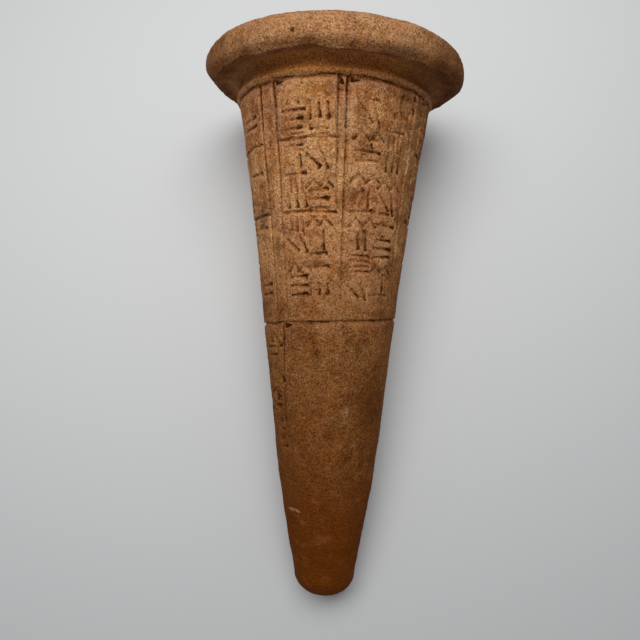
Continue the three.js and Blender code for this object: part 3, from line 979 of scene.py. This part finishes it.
# Painted shade on the right side, which leans away from the lamp, laid on in a ragged pattern;
# then single patches of dirt, lime and fresh breaks.
shaded_right_side = reach_of(across, (7, 22), 0.75, below_head)
colour = coat(colour, STAIN_AND_PAINTED_SHADE, 1.6, (0.36, 0.56), 1.0, shaded_right_side, **SIDE_SHADE_PATTERN)
colour = patch(colour, STAIN_AND_PAINTED_SHADE, 44, 44, (7, 6, 12), 0.75, 0.6)
colour = patch(colour, DEPOSIT, -33, 100, (1.6, 5, 7), 0.5, 0.45, 3.6)
colour = patch(colour, GREY_EARTH, -56, 82.8, (3.5, 4, 4.5), 0.6, 0.6)
colour = patch(colour, FRESH_CLAY, 48, 104.4, (4.4, 4, 3), 0.6, 0.6, 2.8)
colour = patch(colour, DEPOSIT, 24, 112.4, (4, 4, 3), 0.55, 0.7, 3.4, 7)
colour = patch(colour, GREY_EARTH, 7.5, 115, (3.8, 3, 0.5), 0.8, 0.45, 3.2, 7)
colour = patch(colour, EARTH, -16, 113.8, (0.6, 2, 0.45), 0.9, 0.6, 1.6, 7)
colour = patch(colour, DEPOSIT, 7, 53.4, (1.4, 3, 3.2), 0.6, 0.5, 3.6)
colour = patch(colour, DEPOSIT, 17, 42.0, (1.7, 4, 4.2), 0.75, 0.5, 3.5)
colour = patch(colour, DEPOSIT, 27, 35.1, (2.4, 3, 1.5), 0.6, 0.4, 3.6)
colour = patch(colour, FRESH_CLAY, -47, 20.2, (1.7, 2.5, 0.4), 0.65, 1.0, 1.4)
colour = coat(colour, EARTH, deep_hollow, (0.05, 0.26), 0.85, under_collar)
for degrees, reach in ((3.0, (0.7, 4, 8)), (8.2, (1.3, 4, 9)), (-34.5, (0.7, 4, 8))):
    colour = patch(colour, DEPOSIT, degrees, 100.5, reach, 0.75, 0.4, 3.0)

# Sand grains, small lumps, strokes of the wet hand along the shaft, and fine lines turned
# round the tip.
relief = 0.0
for grain, depth, stretch, within in (
    (0.36, 0.75, (1, 1, 1), None),
    (1.3, 0.45, (1, 1, 1), None),
    (0.5, 0.07, (1, 1, 0.12), below_head),
    (0.6, 0.4, (0.06, 0.06, 1), tip),
):
    drawn = add_node("ShaderNodeMapping", {"Vector": place, "Scale": stretch})
    raised = add_node(
        "ShaderNodeTexNoise", {"Vector": drawn, "Scale": 1 / grain, "Detail": 2, "Roughness": 0.6}
    )
    if within:
        raised = add_node("ShaderNodeMath", {0: raised, 1: within}, operation="MULTIPLY")
    relief = add_node(
        "ShaderNodeMath", {0: raised, 1: depth, 2: relief}, operation="MULTIPLY_ADD"
    )
grain_bump = add_node(
    "ShaderNodeBump", {"Height": relief, "Strength": 1.0, "Distance": BUMP_HEIGHT * MILLIMETRE}
)
surface = add_node(
    "ShaderNodeBsdfPrincipled",
    {"Base Color": colour, "Roughness": 0.92, "Specular IOR Level": 0.06, "Normal": grain_bump},
)
tree.links.new(surface, tree.nodes.new("ShaderNodeOutputMaterial").inputs["Surface"])
cone.data.materials.clear()
cone.data.materials.append(fired_clay)


# The floor
# A plain pale surface, seamless to the far edge, that the cone lies on.

FLOOR_SIZE = 6
FLOOR_COLOUR = "#DBDCDC"
FLOOR_ROUGHNESS = 0.95

bpy.ops.mesh.primitive_plane_add(size=FLOOR_SIZE, location=(0, 0, 0))
floor = bpy.context.object
floor.name = "floor"
painted = bpy.data.materials.new("matt_pale_board")
painted.use_nodes = True
paint = painted.node_tree.nodes["Principled BSDF"].inputs
paint["Base Color"].default_value = linear(FLOOR_COLOUR)
paint["Roughness"].default_value = FLOOR_ROUGHNESS
floor.data.materials.append(painted)


# The light
# One wide soft lamp, above the cone and a little past its head, and an even pale surround.

LAMP_PLACE = Vector((-0.022, 0.10, 0.30))
LAMP_AIM = Vector((-0.005, 0.06, 0.0))
LAMP_LENGTH = 0.34
LAMP_WIDTH = 0.18
LAMP_POWER = 0.28
LAMP_SPREAD = 100
SURROUND_COLOUR = "#F1F3F6"
SURROUND_STRENGTH = 0.25

lamp_data = bpy.data.lights.new("soft_lamp", "AREA")
lamp_data.shape = "ELLIPSE"
lamp_data.size = LAMP_LENGTH
lamp_data.size_y = LAMP_WIDTH
lamp_data.energy = LAMP_POWER
lamp_data.spread = math.radians(LAMP_SPREAD)
lamp = bpy.data.objects.new("soft_lamp", lamp_data)
lamp.location = LAMP_PLACE
lamp.rotation_euler = (LAMP_AIM - LAMP_PLACE).to_track_quat("-Z", "Y").to_euler()
bpy.context.scene.collection.objects.link(lamp)

surround = bpy.data.worlds.new("surround")
surround.use_nodes = True
glow = surround.node_tree.nodes["Background"].inputs
glow["Color"].default_value = linear(SURROUND_COLOUR)
glow["Strength"].default_value = SURROUND_STRENGTH
bpy.context.scene.world = surround
bpy.context.scene.view_settings.view_transform = "Standard"


# The camera
# Held close above the cone and looking at its middle, square to its sloping axis.

CAMERA_PLACE = (0.0, -143.93, 61.07)  # in the upright frame, mm
CAMERA_SIDE_TURN = -0.88  # degrees
CAMERA_ROLL = 1.226
CAMERA_LENS = 36
CAMERA_SENSOR = 36
CAMERA_NEAR = 0.01

camera_data = bpy.data.cameras.new("camera")
camera_data.lens = CAMERA_LENS
camera_data.sensor_width = CAMERA_SENSOR
camera_data.clip_start = CAMERA_NEAR
camera = bpy.data.objects.new("camera", camera_data)
side = math.radians(CAMERA_SIDE_TURN)
roll = math.radians(CAMERA_ROLL)
forward = Vector((math.sin(side), math.cos(side), 0))
up = Vector((-math.sin(roll), 0, math.cos(roll)))
up = (up - forward * up.dot(forward)).normalized()
upright = Matrix((forward.cross(up), up, -forward)).transposed().to_4x4()
upright.translation = Vector(CAMERA_PLACE)
placed = laid @ upright
camera.location = placed.translation
camera.rotation_euler = placed.to_3x3().normalized().to_euler()
bpy.context.scene.collection.objects.link(camera)
bpy.context.scene.camera = camera
